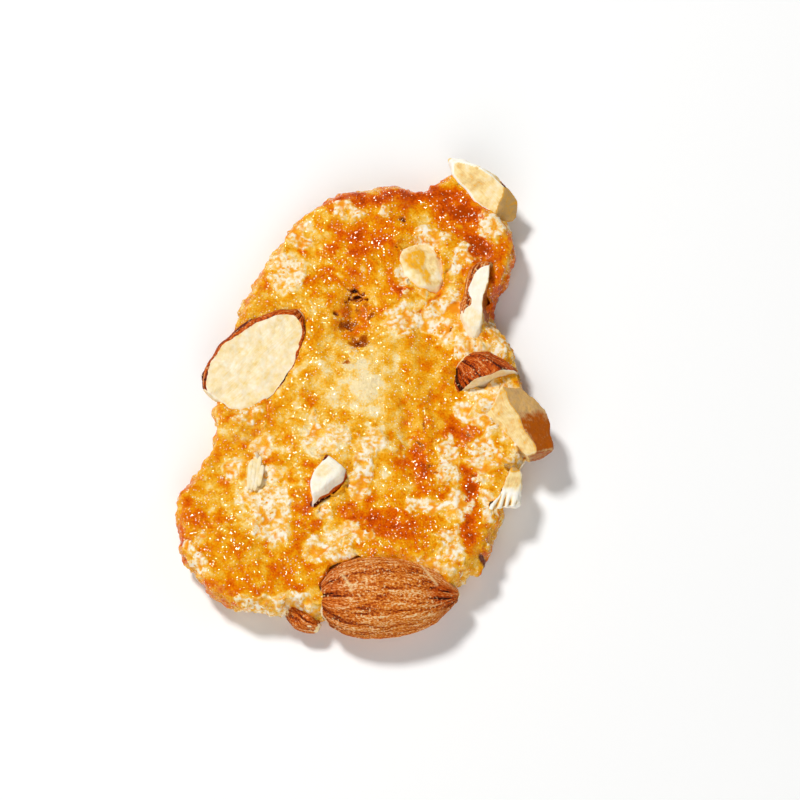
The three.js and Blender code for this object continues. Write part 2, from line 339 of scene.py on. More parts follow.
def grooves(own, arc):
    """1 along the middle of each groove that runs lengthwise over the skin."""
    place = np.stack([own[:, 0] / GROOVE_LENGTH, arc / GROOVE_SPACING, 0 * arc], axis=1)
    veins = lumps(place, 1, 4.4) + 0.3 * lumps(place * (2.1, 2.3, 1), 1, 8.1)
    return np.exp(-(veins / 0.12) ** 2)


def draw_tip(points, node):
    """The same points with the kernel's tip made sharper."""
    (length, _, _), middle, turn = KERNELS[node]
    own = in_kernel(points, node)
    thinner = 1 - TIP_DRAWN * step(own[:, 0] / length + 0.5, 0.80, 1.0)
    own[:, 1:] *= thinner[:, None]
    return own @ np.array(Matrix.Rotation(math.radians(-turn), 3, "Z")) + np.array(middle)


print("grooves", GROOVE_DEPTH, "mm deep")

# %% Marks on the skin
# How dark each skin is roasted, spots roasted darker, and pale scratches as two points in plan.
ROAST = {"almond_whole": 0.0, "almond_front_bit": 0.4, "almond_right_back": 0.3}
ROAST_SPOTS = {"almond_whole": [((13.4, -36.6, 2.0, 1.8, 0), 2.0), ((-5.8, -35.8, 3.6, 5.5, 0), 0.7)]}
SCRATCHES = {"almond_whole": [((9.4, -31.2), (12.3, -35.0)), ((-3.6, -33.4), (-1.9, -36.0))]}
SCRATCH_WIDTH = 0.16


def roast_of(node, points):
    """0 for pale brown skin, 1 for skin that is roasted dark, and more where its grooves are black."""
    roast = np.full(len(points), ROAST.get(node, 1.0))
    for patch, more in ROAST_SPOTS.get(node, []):
        roast += more * np.exp(-ellipse_share(points, patch) ** 2)
    return roast


def scratch_of(node, points):
    """1 along the pale scratches in a skin."""
    scratch = np.zeros(len(points))
    for start_at, end_at in SCRATCHES.get(node, []):
        start_at, end_at = np.array(start_at), np.array(end_at)
        run = end_at - start_at
        share = ((points[:, :2] - start_at) @ run / (run @ run)).clip(0, 1)
        away = np.linalg.norm(points[:, :2] - start_at - share[:, None] * run, axis=1)
        scratch = np.maximum(scratch, np.exp(-(away / SCRATCH_WIDTH) ** 2))
    return scratch * step(points[:, 2], 5.0, 6.0)


print(sum(len(lines) for lines in SCRATCHES.values()), "scratches")

# %% A fine skin over each almond
NUT_VOXEL, NUT_SMOOTHING = 0.24 * MM, 5
# In mm: how far a chopped outline wanders, how far the thin slice's does, and how far its edge is sunk.
OUTLINE_WOBBLE, SLICE_WOBBLE = 0.5, 1.0
SUNKEN = {"almond_back_slice": 0.7}
SKIN_THICKNESS = 0.08
# Each row: how deep and how wide the dents in a cut are, in mm, and their pattern.
CUT_DENTS = [(0.24, 3.0, 5.5), (0.14, 1.3, 2.2), (0.06, 0.6, 7.2)]


def finish_nut(node):
    """The finished form of one almond piece, with what its material needs to know at each vertex."""
    nut = copy_node(node, node.replace("almond", "nut"))
    modify(nut, "REMESH", mode="VOXEL", voxel_size=NUT_VOXEL, use_smooth_shade=True)
    modify(nut, "SMOOTH", factor=0.5, iterations=NUT_SMOOTHING)
    points, looks, ridge = rows(nut, "co"), rows(nut, "normal"), ridges(nut)
    own = in_kernel(points, node)
    (length, width, thickness), middle, _ = KERNELS[node]
    outward = in_kernel(looks + np.array(middle), node)
    arc = np.arctan2(own[:, 1] / width, own[:, 2] / thickness) * (width + thickness) / 4
    surface = on_kernel_surface(node, outward, own)
    skin, groove = skin_of(node, points, surface), grooves(own, arc)
    # Caramel stain, with painted shade on the facets that face right.
    stain_and_shade = stain_and_shade_of(node, points, looks, ridge)
    if node == PEELED_WHITE:
        stain_and_shade += (PEELED_STAIN - stain_and_shade) * step(surface, -0.1, 0.3) * step(-looks[:, 0], -0.55, -0.35)
    on_skin = step(skin, -0.2, 0.2)
    if node in SUNKEN:
        points[:, 2] -= SUNKEN[node] * step(np.hypot(own[:, 0] / length, own[:, 1] / width), 0.28, 0.5)
    if node != "almond_whole":
        wobble = SLICE_WOBBLE if node in SUNKEN else OUTLINE_WOBBLE
        points[:, :2] += wobble * np.stack([lumps(points, 3.2, 2.4), lumps(points, 3.2, 8.3)], axis=1)
    dents = heap(points, CUT_DENTS)
    if node == PRONGED:
        dents += 0.18 * lumps(points, 0.9, 3.7) - PRONG_DEPTH * prongs(own, looks)
        # Painted shade: the gaps between the prongs are darkened towards caramel brown.
        stain_and_shade += PRONG_GAP_SHADE * prongs(own, looks)
    moved = dents + (SKIN_THICKNESS - GROOVE_DEPTH * groove - 0.5 * dents) * on_skin
    shaped = points + looks * moved[:, None]
    move_to(nut, draw_tip(shaped, node) if node == "almond_whole" else shaped)
    for name, values in (("skin", skin), ("groove", groove), ("stain_and_shade", stain_and_shade),
                         ("roast", roast_of(node, points)), ("scratch", scratch_of(node, points))):
        keep(nut, name, values)
    layer = nut.data.attributes.new("kernel_place", "FLOAT_VECTOR", "POINT")
    layer.data.foreach_set("vector", (np.stack([own[:, 0], arc, 0 * arc], axis=1) * MM).ravel())
    return nut


nuts = {node: finish_nut(node) for node in KERNELS}
print("nuts:", sum(len(nut.data.polygons) for nut in nuts.values()), "faces")

# %% [markdown]
# ## Where the crust is pale and where it is dark
#
# On the real cookie, glaze ran into the low places and browned, and crumbs of dough stand out of it pale
# and dry. Neither is even: there are islands of crumb and pools of caramel. Each island and pool is an
# ellipse in plan, and noise then frays its border as baking did.

# %% Islands of crumb and pools of caramel
# Each row: centre x and y, half width and half depth in mm, turn in degrees, and how strong it is.
CRUMB_ISLANDS = [
    (-3.0, 33.5, 2.9, 2.6, 0, 0.9), (3.6, 33.1, 1.2, 1.5, 0, 1.1), (11.3, 27.8, 3.7, 2.4, 0, 1.0),
    (7.0, 21.6, 1.8, 3.9, 0, 1.0), (8.7, 18.7, 2.6, 1.6, 0, 0.9), (16.1, 24.2, 2.0, 2.9, -20, 0.9),
    (22.1, 30.4, 2.9, 3.3, 0, 0.9), (20.2, 32.9, 1.2, 1.0, 0, 1.0), (23.3, 10.1, 2.8, 4.4, 0, 0.9),
    (7.0, 13.8, 3.2, 3.2, 0, 0.9), (13.0, 14.3, 4.2, 3.6, 0, 0.9), (17.3, 11.0, 4.2, 2.6, 0, 0.7),
    (-6.2, -8.7, 3.9, 2.9, 10, 1.0), (1.3, -9.0, 2.6, 3.2, 0, 0.9), (-0.4, -16.0, 2.2, 4.2, 0, 0.9),
    (-16.5, -20.0, 4.2, 8.4, 12, 1.0), (-22.2, -14.5, 1.7, 2.3, -20, 0.9), (-17.0, -10.0, 3.0, 1.7, 20, 0.8),
    (-4.2, -26.9, 6.4, 2.6, 28, 0.8), (-3.3, -30.9, 2.1, 2.8, 0, 0.9), (14.4, -13.6, 2.2, 4.6, 0, 1.0),
    (20.2, -12.7, 3.2, 3.8, 0, 0.9), (10.2, -20.9, 3.0, 1.7, 0, 0.9), (15.9, -20.9, 2.6, 2.6, 0, 0.8),
    (15.0, -28.2, 2.4, 4.2, 10, 1.0), (21.2, -20.9, 1.5, 2.7, 0, 0.9), (-11.0, -38.2, 4.4, 1.9, -20, 1.0),
    (17.8, -33.7, 2.8, 1.4, 25, 0.9), (-6.7, -22.2, 1.6, 1.3, 0, 0.8), (11.3, -31.3, 3.4, 1.1, -20, 0.7),
    (21.9, -5.4, 2.4, 4.7, 40, 0.7), (-13.6, 22.0, 2.9, 4.2, 15, 0.9), (-11.0, 28.4, 2.4, 2.3, 0, 0.9),
    (-20.0, -4.0, 2.6, 1.8, 30, 0.7), (-27.5, -26.0, 1.6, 2.6, 0, 0.5), (27.0, -11.2, 2.2, 1.8, -30, 1.1),
    (25.6, -12.8, 1.8, 1.3, -20, 1.2), (21.2, 0.0, 4.8, 2.2, 12, 1.6), (24.3, 30.0, 0.9, 2.6, 0, 0.9),
    (-2.0, 7.2, 0.8, 1.6, -20, 2.4), (-27.8, -30.5, 1.3, 4.2, 35, 0.9), (-18.5, -37.6, 3.6, 1.3, 0, 1.0),
    (18.0, 7.6, 3.4, 2.6, 0, 0.8), (18.2, -4.2, 3.6, 1.6, -40, 1.0),
]
# A pool below 0 is paler glaze.
CARAMEL_POOLS = [
    (19.8, 28.4, 6.0, 6.6, 0, 0.34), (15.6, 33.9, 4.6, 3.6, 0, 0.37), (6.1, 35.7, 12.0, 2.0, 5, 0.42),
    (-2.5, 34.8, 4.5, 1.8, 0, 0.30), (-2.1, 13.8, 2.8, 6.9, 14, 0.18), (9.6, -13.1, 2.4, 5.8, 8, 0.52),
    (5.3, -24.6, 7.0, 3.8, -8, 0.36), (-12.7, -32.4, 8.8, 2.8, 14, 0.27), (-25.6, -30.9, 6.5, 6.9, 0, 0.20),
    (-29.9, -22.7, 2.7, 5.5, 0, 0.20), (16.4, -7.2, 3.6, 2.6, 0, 0.32), (18.1, -18.2, 1.8, 4.7, 0, 0.42),
    (18.1, -26.4, 2.2, 4.7, 0, 0.36), (11.3, 15.8, 3.6, 0.9, 38, 0.48), (7.0, 18.0, 1.5, 1.1, 0, 0.50),
    (-2.5, 25.6, 5.0, 6.0, 0, 0.18), (3.0, 27.5, 7.0, 5.0, 0, 0.20), (-9.5, -21.0, 2.4, 6.0, 0, 0.20),
    (0.2, -0.4, 5.2, 5.6, 0, -0.26), (0.0, 2.0, 11.0, 9.0, 0, -0.20), (5.6, -1.2, 2.0, 3.0, 0, 0.12),
    (9.3, 3.8, 2.0, 4.0, 0, 0.14), (4.1, 8.4, 1.8, 1.7, 0, 0.08), (5.8, 6.2, 2.2, 1.7, 30, -0.14),
    (-7.0, 3.0, 4.4, 6.0, 0, -0.08), (-5.9, -10.0, 6.9, 3.7, 0, -0.14), (13.0, 11.0, 8.6, 4.6, 0, 0.08),
    (23.2, 17.4, 2.0, 5.0, 8, 0.52), (20.3, -12.6, 3.6, 3.6, 0, 0.14),
]
BASE_TOAST = 0.45
# Smooth, buttery glaze with hardly a crumb in it.
BUTTERY_PATCHES = [(0.0, 2.4, 10.5, 8.4, 0, 1.1), (8.6, 3.0, 4.0, 6.0, 0, 0.8)]
# Hollows left by burst bubbles, the last number being how deep: 0.3 is browned and 1 is a dark pit.
BURST_BUBBLES = [
    (-1.2, 15.5, 3.8, 4.4, 0, 0.30), (-2.7, 12.8, 2.2, 1.3, 0, 0.72), (1.2, 14.2, 1.4, 1.0, 0, 0.66),
    (-1.0, 9.4, 1.9, 1.5, 25, 0.80), (-0.7, 9.6, 0.6, 0.45, 0, 1.1), (-1.8, 18.5, 1.3, 0.45, -20, 1.3),
    (-1.4, 17.2, 0.8, 0.4, 15, 1.3), (0.4, 17.0, 0.45, 0.4, 0, 1.2), (-4.9, 14.4, 0.4, 0.5, 0, 0.9),
    (10.3, -6.5, 0.25, 1.7, 10, 0.7), (9.2, -10.0, 1.0, 1.3, -40, 0.5), (9.0, -9.4, 0.8, 0.3, -60, 0.8),
    (11.3, -13.6, 1.2, 0.9, -50, 0.5), (11.2, -13.4, 0.3, 0.9, 30, 0.75), (12.3, -15.2, 0.6, 0.3, 0, 0.7),
    (17.7, -8.0, 0.3, 0.9, 30, 0.7), (18.2, -15.5, 0.6, 0.3, 20, 0.7), (6.3, 31.3, 0.5, 0.8, 20, 0.9),
    (5.6, 26.2, 0.5, 0.4, 0, 0.8), (14.8, 11.2, 0.6, 0.3, 20, 0.8), (-3.2, 4.8, 1.2, 0.45, 25, 0.55),
]
# Cracked crust in the largest hollow. Cracks run where noise is near 0, within this width of it.
CRACKED = (-1.7, 17.4, 3.0, 2.3, 0)
CRACK_WIDTH = 0.12
# Shreds of nut baked into the dough, the last number being how pale they are.
SHREDS = [
    (-18.3, -15.6, 1.3, 2.9, 5, 0.5), (-16.3, -39.9, 1.7, 0.9, 0, 1.0), (20.0, -30.4, 0.9, 1.1, 30, 0.0),
]
print(len(CRUMB_ISLANDS), "islands of crumb,", len(CARAMEL_POOLS), "pools of caramel")

# %% [markdown]
# ## The dough
#
# The solid gives the slab's outline, its hollows and the seats of the almonds, in facets of a millimetre
# or two. A voxel remesh gives an even skin of small faces over all of it, and a little smoothing takes the
# facets off, which is quicker than sculpting and gives the same result on every run.

# %% A fine skin over the slab
DOUGH_VOXEL, DOUGH_SMOOTHING = 0.27 * MM, 20

dough = copy_node("crisp_body", "crisp_dough")
modify(dough, "REMESH", mode="VOXEL", voxel_size=DOUGH_VOXEL, use_smooth_shade=True)
modify(dough, "SMOOTH", factor=0.5, iterations=DOUGH_SMOOTHING)
print("dough:", len(dough.data.vertices), "vertices")

# %% [markdown]
# ### Seats of the almonds
#
# The seats in the solid are cut with room to spare, but dough rises round a nut and sets against it. So
# each point of the dough near a nut is drawn to it and a little past, which laps the dough over the nut's
# edge unevenly. Here and there it is left alone, as a dark crevice.

# %% Draw the dough up against the nuts
# In mm: how far off a nut still draws the dough, the gap that closes wholly and how long crevices are. Then
# how far dough laps over a nut at least, how much more where it swells, and how far it rises there.
SEAT_REACH, SEAT_CLOSED, CREVICE_SIZE = 2.0, 1.0, 4.0
LIP_LEAST, LIP_MOST, LIP_RISE = 0.12, 1.3, 0.6


def tree_of(pieces):
    """One search tree over the faces of several pieces."""
    corners, faces = [], []
    for piece in pieces:
        first = len(corners)
        corners += [vertex.co for vertex in piece.data.vertices]
        faces += [[first + index for index in face.vertices] for face in piece.data.polygons]
    return BVHTree.FromPolygons(corners, faces)


def nearest_nut(points):
    """The nearest spot on a nut for each point within reach (or the point itself), and how far it is."""
    found = [nut_tree.find_nearest(point, SEAT_REACH * MM) for point in (points * MM).tolist()]
    spots = [point if hit[0] is None else np.array(hit[0]) / MM for point, hit in zip(points, found)]
    return np.array(spots), np.array([SEAT_REACH if hit[3] is None else hit[3] / MM for hit in found])


def lies_on_tray(points, looks):
    """1 where the dough lies on the tray, 0 where it is crust."""
    return step(-looks[:, 2], 0.2, 0.7) * (1 - step(points[:, 2], 1.2, 3.0))


nut_tree = tree_of(nuts.values())
places, facing = rows(dough, "co"), rows(dough, "normal")
spots, gap = nearest_nut(places)
closed = (1 - step(gap, SEAT_CLOSED, SEAT_REACH)) * step(lumps(places, CREVICE_SIZE, 31.0), -0.45, -0.15)
closed *= 1 - step(lies_on_tray(places, facing), 0.0, 0.4)
swollen = lumps(places, 2.2, 13.0).clip(0)
towards = (spots - places) / gap.clip(1e-3)[:, None]
lapped = places + towards * (closed * (gap + LIP_LEAST + LIP_MOST * swollen))[:, None]
lapped[:, 2] += LIP_RISE * closed * swollen
move_to(dough, lapped)
print("dough laps the nuts by as much as", round(LIP_LEAST + LIP_MOST * float(swollen.max()), 2), "mm")

# %% Fewer faces where nothing shows
# How many triangles are kept, and how much sooner unseen ones go.
DOUGH_TRIANGLES, UNSEEN_FACTOR = 190_000, 10


def paint(piece, name, weights):
    """A vertex group with a weight of its own for each vertex."""
    group = piece.vertex_groups.new(name=name)
    for index, weight in enumerate(np.clip(weights, 0, 1).tolist()):
        group.add([index], weight, "REPLACE")


underside = lies_on_tray(rows(dough, "co"), rows(dough, "normal"))
buried = 1 - step(gap, 0.35, 0.6)
paint(dough, "unseen", np.maximum(underside, buried))
modify(dough, "TRIANGULATE")
modify(dough, "DECIMATE", ratio=DOUGH_TRIANGLES / len(dough.data.polygons), vertex_group="unseen",
       vertex_group_factor=UNSEEN_FACTOR)
dough.vertex_groups.clear()
print("dough:", len(dough.data.polygons), "triangles")

# %% [markdown]
# ## Relief of the crust
#
# Crumb stands up by about a fifth of a millimetre, is lumpy and full of pores; glaze lies lower and is only
# grainy. One map of noise decides where there is crumb, and both the relief and the colour read it, so
# that every pale spot is also a raised one.

# %% Crumb score and toast at every vertex
# Each row: how much a drift of crumb adds to the score, its size in mm and its pattern.
CRUMB_DRIFTS = [(0.4, 4.5, 3.1), (0.8, 2.1, 7.7), (0.55, 1.1, 1.3), (0.2, 0.55, 9.2)]
# How fast a spill fades with the square of the way to its edge.
FADE = 1.2


def mound(points, patch):
    """A patch's strength in its middle, down to 0 at its edge and lower outside."""
    return patch[5] * (1 - ellipse_share(points, patch) ** 2)


def spill(points, patch):
    """A patch's strength in its middle, fading away past its edge."""
    return patch[5] * np.exp(-FADE * ellipse_share(points, patch) ** 2)


places, facing = rows(dough, "co"), rows(dough, "normal")
island = np.max([mound(places, patch) for patch in CRUMB_ISLANDS], axis=0)
buttery = np.max([mound(places, patch) for patch in BUTTERY_PATCHES], axis=0).clip(0)
pools = sum(spill(places, patch) for patch in CARAMEL_POOLS)
crumb_score = 0.85 * island.clip(-0.7) + heap(places, CRUMB_DRIFTS) - 0.6 * pools.clip(0) - buttery
toast = BASE_TOAST + pools + 0.14 * lumps(places, 5.0, 21.0) + 0.18 * lumps(places, 2.2, 12.0)
print("crumb covers", round(float((crumb_score > 0).mean()), 2), "of the skin")

# %% Burst bubbles and shreds
warp = np.stack([lumps(places, 1.3, layer) for layer in (2.7, 5.2, 8.4)], axis=1)
strayed = places + 0.5 * warp
pit = np.max([spill(strayed, patch) for patch in BURST_BUBBLES], axis=0)
pit += 0.3 * step(pit, 0.1, 0.3) * lumps(places, 0.9, 6.6)
cracks = np.exp(-(lumps(strayed, 1.4, 4.9) / CRACK_WIDTH) ** 2)
cracks *= 1 - step(ellipse_share(strayed, CRACKED), 0.5, 1.0)
pit = np.maximum(pit, 0.95 * cracks)
shred, shred_tone = np.zeros((2, len(places)))
for patch in SHREDS:
    share = 1 - step(ellipse_share(places, patch) + 0.2 * lumps(places, 1.2, 3.3), 0.85, 1.1)
    shred = np.maximum(shred, share)
    shred_tone = np.where(share > 0.01, patch[5], shred_tone)
print("pits cover", round(float((pit > 0.6).mean()), 4), "of the skin")

# %% Raise the crumb, pit it with pores and grain the glaze
# In mm: how far apart the lumps of crumb lie, how far folds sway sideways, and how deep a burst bubble is.
LUMP_SPACING, FOLD_WOBBLE, PIT_DEPTH = 1.25, 0.7, 0.55


def cells(points, size, layer):
    """Distance to the nearest of a cloud of random points that lie about `size` mm apart, in sizes."""
    return np.array([noise.voronoi(point)[0][0] for point in (points / size + layer).tolist()])


seat = 1 - step(nearest_nut(places)[1], 0.4, 0.9)
underside = lies_on_tray(places, facing)
rim = (1 - step(np.abs(facing[:, 2]), 0.3, 0.7)) * (1 - seat)
crumb_share = step(crumb_score, -0.08, 0.20)
lump = cells(places + 0.6 * warp, LUMP_SPACING, 2.7)
pore = step(lump, 0.50, 0.74) * crumb_share
fine = lumps(places, 0.6, 14.0)
medium = lumps(places, 1.2, 16.0)
crags = np.abs(lumps(places, 3.2, 19.0))
raised = 0.22 + 0.20 * crags + 0.10 * medium + 0.07 * fine - 0.26 * lump ** 2
grained = 0.16 * lumps(places, 2.2, 18.0) + 0.05 * medium + 0.02 * fine
relief = crumb_share * raised + (1 - crumb_share) * grained - PIT_DEPTH * pit
relief += step(pit, 0.1, 0.3) * 0.25 * lumps(places, 0.8, 8.8) + 0.35 * lumps(places, 7.0, 11.0)
relief += rim * (0.60 * lumps(places, 2.6, 25.0) + 0.45 * lumps(places, 1.2, 27.0) + 0.2 * fine)
relief *= (1 - 0.8 * underside) * (1 - 0.7 * seat)
sway = np.stack([lumps(places, 2.6, layer) for layer in (41.0, 43.0)], axis=1)
places = places + facing * relief[:, None]
places[:, :2] += FOLD_WOBBLE * sway * ((1 - underside) * (1 - seat) * (1 - rim))[:, None]
places[:, 2] = places[:, 2].clip(0)
move_to(dough, places)
shred *= 1 - underside
for name, values in (("crumb", crumb_score - 1.5 * step(pit, 0.2, 0.6)), ("toast", toast), ("pore", pore),
                     ("pit", pit), ("underside", underside), ("shred", shred), ("shred_tone", shred_tone)):
    keep(dough, name, values)
print("crumb stands", round(float(raised.mean()), 2), "mm up")
print("dough stands", round(float(places[:, 2].max()), 2), "mm high")

# %% [markdown]
# ## Materials: colour and nodes
#
# Colours are written as the hex values that a paint program shows and turned to linear light once. One
# small function adds any node, sets what it is given and links the rest.

# %% Colour and node helpers
def linear(hex_colour):
    """An sRGB hex colour as linear RGBA."""
    values = [int(hex_colour[i:i + 2], 16) / 255 for i in (1, 3, 5)]
    return [v / 12.92 if v <= 0.04045 else ((v + 0.055) / 1.055) ** 2.4 for v in values] + [1]


def add(tree, kind, sockets=None, stops=None, **settings):
    """Adds a node. sockets are linked, or set where a plain value is given; stops are a ramp's colours."""
    node = tree.nodes.new(kind)
    for key, value in settings.items():
        setattr(node, key, value)
    for key, value in (sockets or {}).items():
        if isinstance(value, bpy.types.NodeSocket):
            tree.links.new(value, node.inputs[key])
        else:
            node.inputs[key].default_value = value
    if stops:
        first, *inner, last = stops
        for element, (place, hex_colour) in zip(node.color_ramp.elements, (first, last)):
            element.position, element.color = place, linear(hex_colour)
        for place, hex_colour in inner:
            node.color_ramp.elements.new(place).color = linear(hex_colour)
    return node


def start(name):
    """A new node material with its tree and its Principled shader."""
    material = bpy.data.materials.new(name)
    material.use_nodes = True
    return material, material.node_tree, material.node_tree.nodes["Principled BSDF"]


# A mix node has sockets of one name for each kind of data, so its colours are picked by number.
MIX_A, MIX_B, MIXED = 6, 7, 2
print("pure white is", linear("#FFFFFF"))


# %% Short forms of the nodes that come up most
def maps_of(tree, *names):
    """What a piece's vertices keep under these names."""
    return {name: add(tree, "ShaderNodeAttribute", attribute_name=name).outputs["Fac"] for name in names}


def noisy(tree, place, size, detail=2, output=0):
    """Noise from 0 to 1 with features `size` mm across; its output "Color" is three noises at once."""
    sockets = {"Vector": place, "Scale": 1 / (size * MM), "Detail": detail}
    return add(tree, "ShaderNodeTexNoise", sockets).outputs[output]


def cellular(tree, place, size):
    """The outputs of random cells whose middles lie about `size` mm apart."""
    return add(tree, "ShaderNodeTexVoronoi", {"Vector": place, "Scale": 1 / (size * MM)}).outputs


def calc(tree, operation, *values):
    """Arithmetic on sockets and plain numbers."""
    return add(tree, "ShaderNodeMath", dict(enumerate(values)), operation=operation).outputs[0]


def vector_calc(tree, operation, *values, output="Vector"):
    """Arithmetic on vectors."""
    return add(tree, "ShaderNodeVectorMath", dict(enumerate(values)), operation=operation).outputs[output]


def ranged(tree, value, low, high, out_low=0, out_high=1, kind="LINEAR"):
    """Stretches low to high onto out_low to out_high, and holds still beyond."""
    sockets = {0: value, 1: low, 2: high, 3: out_low, 4: out_high}
    return add(tree, "ShaderNodeMapRange", sockets, interpolation_type=kind).outputs[0]


def toned(tree, value, tones):
    """A colour picked from a row of tones."""
    return add(tree, "ShaderNodeValToRGB", {0: value}, stops=tones).outputs[0]


def laid_over(tree, share, under, over):
    """One colour laid over another by a share."""
    return add(tree, "ShaderNodeMix", {0: share, MIX_A: under, MIX_B: over}, data_type="RGBA").outputs[MIXED]


def between(tree, share, low, high):
    """A number this share of the way from one to the other."""
    return add(tree, "ShaderNodeMix", {0: share, 2: low, 3: high}).outputs[0]


print("node helpers ready")

# %% [markdown]
# ## Caramelised dough
#
# Baked dough under a skin of melted sugar: the crumb is dry, matt and cream, the glaze is hard, clear and
# amber to red-brown, and its grainy skin catches the light in sparks.

# %% Caramelised dough, baked and glazed
GLAZE_TONES = [
    (0.0, "#FFE7B2"), (0.15, "#FFD374"), (0.30, "#F9BA36"), (0.45, "#F3A20A"), (0.60, "#EC8400"),
    (0.74, "#E46800"), (0.88, "#D65000"), (1.0, "#B44000"),
]
BURST_TONES = [(0.25, "#DE9014"), (0.5, "#C06206"), (0.75, "#923C02"), (0.98, "#461602")]
CRUMB_TONES = [(0.35, "#EEAC34"), (0.42, "#F3C670"), (0.49, "#F7DFB2"), (0.58, "#FCF2DE")]
TRAY_TONES = [(0.46, "#9A4A0C"), (0.58, "#C67A1E"), (0.68, "#DFA248"), (0.84, "#F2D8A0")]
SHRED_TONES = [(0.0, "#6E2A0E"), (0.5, "#F8E2AA"), (1.0, "#EBDACB")]
# Painted highlight: the white of the sparkles, painted into the glaze's colour.
PAINTED_SPARKLE_WHITE = "#FFF2D2"
# In mm: how far apart sugar facets, painted white sparkles and holes in the crumb lie.
FACET_SPACING, SPARKLE_SPACING, HOLE_SPACING = 0.28, 0.5, 0.75
# How steep facets are, and how rough glaze and crumb are.
FACET_SLOPE = 0.30
GLAZE_ROUGHNESS, CRUMB_ROUGHNESS = 0.06, 0.7


def caramelised_dough():
    # Dry crumb is matt and cream, the glaze smooth and clear, and its sugar facets flash white.
    material, tree, shader = start("caramelised_dough_baked")
    place = add(tree, "ShaderNodeTexCoord").outputs["Object"]
    maps = maps_of(tree, "crumb", "toast", "pore", "pit", "underside", "shred", "shred_tone")

    # Flecks of 0.6 mm fray the border between crumb and glaze.
    fleck = noisy(tree, place, 0.6, 3)
    frayed = calc(tree, "MULTIPLY_ADD", fleck, 0.9, maps["crumb"])
    share = ranged(tree, frayed, 0.46, 0.70, kind="SMOOTHSTEP")

    # Clouds of 2 mm and grains of 0.3 mm vary how brown the glaze is. It is thin, and so golden, in a border
    # of half a millimetre round the crumb.
    clouds, grain = noisy(tree, place, 2, 4), noisy(tree, place, 0.3)
    browned = calc(tree, "MULTIPLY_ADD", clouds, 1.2, maps["toast"])
    grained = calc(tree, "MULTIPLY_ADD", grain, 0.6, browned)
    centred = calc(tree, "SUBTRACT", grained, 0.9)
    thin = ranged(tree, frayed, 0.12, 0.5, 0, 0.24)
    clear = toned(tree, calc(tree, "SUBTRACT", centred, thin), GLAZE_TONES)

    # White specks from 0.1 to 0.3 mm wide are painted highlights. They stand for the glints of the glaze and
    # for grains of sugar that didn't melt, and lie in drifts of 2.5 mm and trapped in the hollows. Noise of
    # 0.25 mm makes their outlines ragged.
    ragged = noisy(tree, place, 0.25, output="Color")
    spot = vector_calc(tree, "MULTIPLY_ADD", ragged, (0.3 * MM,) * 3, place)
    sparkle_cells = cellular(tree, spot, SPARKLE_SPACING)
    draw = add(tree, "ShaderNodeSeparateColor", {0: sparkle_cells["Color"]}).outputs
    outside = calc(tree, "MULTIPLY_ADD", draw[1], -0.10, sparkle_cells["Distance"])
    whole = ranged(tree, outside, 0.20, 0.09, kind="SMOOTHSTEP")
    dealt = calc(tree, "MULTIPLY_ADD", noisy(tree, place, 2.5), 1.6, draw[0])
    trapped = calc(tree, "MINIMUM", maps["pit"], 0.4)
    luck = calc(tree, "MULTIPLY_ADD", trapped, 1.5, dealt)
    painted_sparkles = calc(tree, "MULTIPLY", whole, calc(tree, "GREATER_THAN", luck, 1.2))
    glaze = laid_over(tree, painted_sparkles, clear, linear(PAINTED_SPARKLE_WHITE))

    # Crumb is cream where it is dry and golden where glaze soaked in: in patches of 0.8 mm, at its border
    # and round its holes. It is also painted golden in the low spots of its 0.6 mm flecks, as warm painted
    # shade where its bump sinks. Holes about 0.4 mm wide pierce it at random, with amber glaze in them.
    mealy_and_low_shade = between(tree, 0.45, noisy(tree, place, 0.8, 4), fleck)
    stray = noisy(tree, place, 0.6, output="Color")
    hole = cellular(tree, vector_calc(tree, "MULTIPLY_ADD", stray, (0.7 * MM,) * 3, place), HOLE_SPACING)
    pierced = ranged(tree, hole["Distance"], 0.36, 0.20, kind="SMOOTHSTEP")
    chance = add(tree, "ShaderNodeSeparateColor", {0: hole["Color"]}).outputs[0]
    holes = calc(tree, "MULTIPLY", pierced, calc(tree, "GREATER_THAN", chance, 0.55))
    open_share = calc(tree, "MAXIMUM", holes, maps["pore"])
    rimmed = ranged(tree, frayed, 0.60, 0.90, 0.06, 0)
    drained = calc(tree, "MULTIPLY_ADD", open_share, -0.09, mealy_and_low_shade)
    cream = toned(tree, calc(tree, "SUBTRACT", drained, rimmed), CRUMB_TONES)
    deepest = calc(tree, "MULTIPLY_ADD", maps["pore"], 0.10, 0.44)
    amber = toned(tree, calc(tree, "MINIMUM", centred, deepest), GLAZE_TONES)
    crust = laid_over(tree, share, glaze, laid_over(tree, open_share, cream, amber))

    # Burst bubbles leave brown hollows with nearly black pits, uneven over 0.3 mm.
    charred = calc(tree, "MULTIPLY_ADD", grain, 0.7, maps["pit"])
    hollow = calc(tree, "SUBTRACT", charred, 0.35)
    browned_share = ranged(tree, hollow, 0.2, 0.5, kind="SMOOTHSTEP")
    burst_share = calc(tree, "MULTIPLY", browned_share, calc(tree, "SUBTRACT", 1, painted_sparkles))
    pitted = laid_over(tree, burst_share, crust, toned(tree, hollow, BURST_TONES))

    # The side that lay on the tray is browned in blotches of 6 mm, with grains of 0.3 mm.
    scorched = calc(tree, "MULTIPLY_ADD", grain, 0.35, noisy(tree, place, 6, 6))
    turned = laid_over(tree, maps["underside"], pitted, toned(tree, scorched, TRAY_TONES))
    colour = laid_over(tree, maps["shred"], turned, toned(tree, maps["shred_tone"], SHRED_TONES))
    tree.links.new(colour, shader.inputs["Base Color"])

